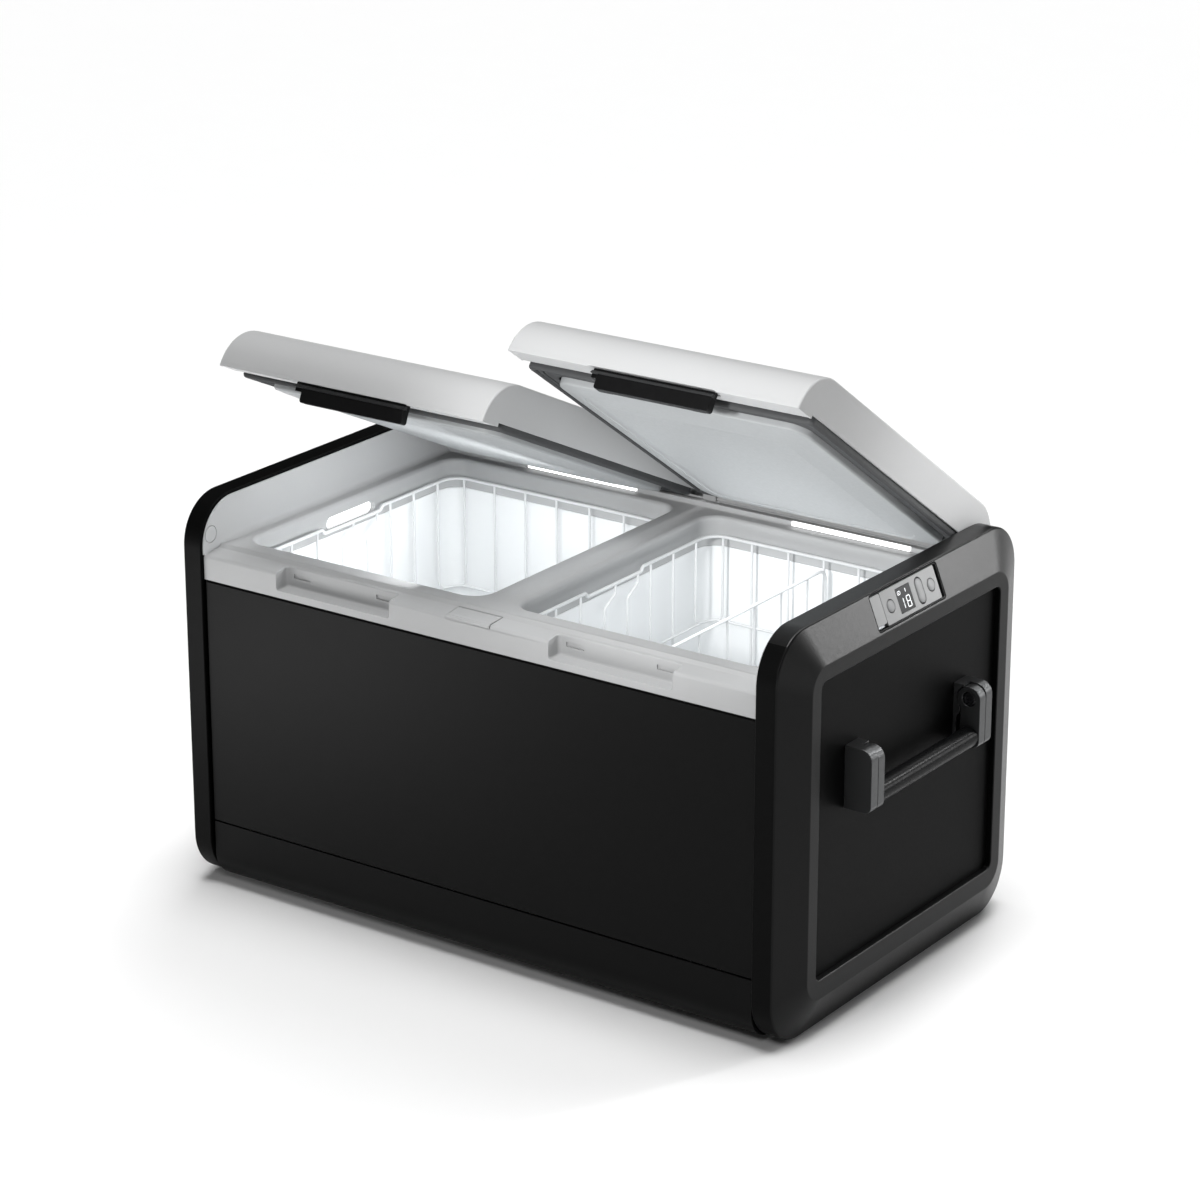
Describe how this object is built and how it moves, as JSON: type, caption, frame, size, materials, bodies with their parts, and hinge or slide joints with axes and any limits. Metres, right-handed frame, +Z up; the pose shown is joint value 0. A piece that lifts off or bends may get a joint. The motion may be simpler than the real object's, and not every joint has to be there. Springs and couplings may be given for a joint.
{
  "type": "portable compressor cooler",
  "caption": "Chest-shaped portable compressor cooler with rear-hinged lids over a deep and a shallow compartment, wire baskets, a sloping control panel and folding side handles.",
  "frame": {"origin": "centre of the footprint on the floor, under the feet", "axes": "+X towards the end with the control panel, -Y towards the front with the latches, +Z up"},
  "size_m": [0.892, 0.495, 0.718],
  "materials": {
    "cap_black": "satin moulded black",
    "panel_black": "satin coated black",
    "frame_grey": "satin light grey",
    "lid_grey": "satin silver grey",
    "liner_white": "white liner",
    "lid_liner_grey": "satin pale grey",
    "gasket_grey": "soft matte grey",
    "rubber_black": "matte black",
    "trim_black": "fine-grained black",
    "grip_black": "satin black sleeve",
    "wire_white": "white dipped wire",
    "foam_core": "rigid foam, matte",
    "bare_aluminium": "mill finish",
    "compressor_black": "black enamel",
    "handle_metal": "dark grey satin metal",
    "steel": "bright steel",
    "panel_silver": "satin silver",
    "display_dark": "dark window",
    "key_grey": "satin grey",
    "lamp_white": "milky white diffuser",
    "machine_black": "black moulding"
  },
  "bodies": {
    "cabinet": {"right_end_cap": "cap_black", "left_end_cap": "cap_black", "right_side_panel": "panel_black", "left_side_panel": "panel_black", "front_panel": "panel_black", "rear_panel": "panel_black", "base_tray": "panel_black", "foot_front_left": "rubber_black", "foot_front_right": "rubber_black", "foot_rear_left": "rubber_black", "foot_rear_right": "rubber_black", "top_frame": "frame_grey", "cover_plate": "frame_grey", "left_lamp": "lamp_white", "right_lamp": "lamp_white", "left_tub": "liner_white", "right_tub": "liner_white", "left_evaporator": "bare_aluminium", "right_evaporator": "bare_aluminium", "insulation_foam": "foam_core", "drain_plug": "rubber_black", "compressor": "compressor_black", "condenser": "bare_aluminium", "fan_frame": "machine_black", "control_module": "bare_aluminium", "dc_inlet": "machine_black", "ac_inlet": "machine_black", "control_housing": "trim_black", "control_face": "panel_silver", "display_window": "display_dark", "charging_port": "steel", "right_bracket_rear": "handle_metal", "right_bracket_front": "handle_metal", "right_pivot_bolt_rear": "steel", "right_pivot_bolt_front": "steel", "right_hinge_rod": "steel", "left_bracket_rear": "handle_metal", "left_bracket_front": "handle_metal", "left_pivot_bolt_rear": "steel", "left_pivot_bolt_front": "steel", "left_hinge_rod": "steel"},
    "left_lid": {"left_lid_shell": "lid_grey", "left_lid_liner": "lid_liner_grey", "left_lid_gasket": "gasket_grey"},
    "right_lid": {"right_lid_shell": "lid_grey", "right_lid_liner": "lid_liner_grey", "right_lid_gasket": "gasket_grey"},
    "left_latch_body": {"left_latch": "trim_black"},
    "right_latch_body": {"right_latch": "trim_black"},
    "left_handle": {"left_bail": "handle_metal", "left_grip": "grip_black"},
    "right_handle": {"right_bail": "handle_metal", "right_grip": "grip_black"},
    "fan": {"fan_rotor": "machine_black"},
    "power_key": {"power_button": "key_grey"},
    "set_key": {"set_button": "key_grey"},
    "rocker_key": {"temperature_rocker": "key_grey"},
    "port_cover": {"port_flap": "panel_silver"},
    "left_basket_body": {"left_basket": "wire_white"},
    "right_basket_body": {"right_basket": "wire_white"}
  },
  "joints": [
    {"name": "right_lid_hinge", "type": "hinge", "parent": "cabinet", "child": "right_lid", "pos_m": [0.19, 0.236, 0.438], "axis": [-1, 0, 0], "range_deg": [-34.7, 60.3]},
    {"name": "left_lid_hinge", "type": "hinge", "parent": "cabinet", "child": "left_lid", "pos_m": [-0.19, 0.236, 0.438], "axis": [-1, 0, 0], "range_deg": [-25, 70]},
    {"name": "right_latch_hinge", "type": "hinge", "parent": "right_lid", "child": "right_latch_body", "pos_m": [0.1885, -0.16173, 0.69272], "axis": [-1, 0, 0], "range_deg": [0, 20], "stiffness_Nm_per_rad": 0.8, "springref_deg": -2.86},
    {"name": "left_latch_hinge", "type": "hinge", "parent": "left_lid", "child": "left_latch_body", "pos_m": [-0.1885, -0.19896, 0.62207], "axis": [-1, 0, 0], "range_deg": [0, 20], "stiffness_Nm_per_rad": 0.8, "springref_deg": -2.86},
    {"name": "right_handle_swing", "type": "hinge", "parent": "cabinet", "child": "right_handle", "pos_m": [0.4315, 0, 0.305], "axis": [0, -1, 0], "range_deg": [0, 90]},
    {"name": "left_handle_swing", "type": "hinge", "parent": "cabinet", "child": "left_handle", "pos_m": [-0.4315, 0, 0.305], "axis": [0, 1, 0], "range_deg": [0, 90]},
    {"name": "fan_spin", "type": "hinge", "parent": "cabinet", "child": "fan", "pos_m": [0.265, 0.171, 0.125], "axis": [0, 1, 0], "continuous": true},
    {"name": "power_press", "type": "slide", "parent": "cabinet", "child": "power_key", "axis": [-0.927, 0, -0.3751], "range_m": [0, 0.0012], "stiffness_N_per_m": 1500, "springref_m": -0.0004},
    {"name": "set_press", "type": "slide", "parent": "cabinet", "child": "set_key", "axis": [-0.927, 0, -0.3751], "range_m": [0, 0.0012], "stiffness_N_per_m": 1500, "springref_m": -0.0004},
    {"name": "rocker_tilt", "type": "hinge", "parent": "cabinet", "child": "rocker_key", "pos_m": [0.40882, 0.0252, 0.44965], "axis": [0, 1, 0], "range_deg": [-3, 3], "stiffness_Nm_per_rad": 0.4},
    {"name": "port_flap_hinge", "type": "hinge", "parent": "cabinet", "child": "port_cover", "pos_m": [0.40865, -0.0673, 0.45142], "axis": [0.3751, 0, -0.927], "range_deg": [0, 100]},
    {"name": "left_basket_lift", "type": "slide", "parent": "cabinet", "child": "left_basket_body", "axis": [0, 0, 1], "range_m": [0, 0.008]},
    {"name": "right_basket_lift", "type": "slide", "parent": "cabinet", "child": "right_basket_body", "axis": [0, 0, 1], "range_m": [0, 0.008]}
  ]
}
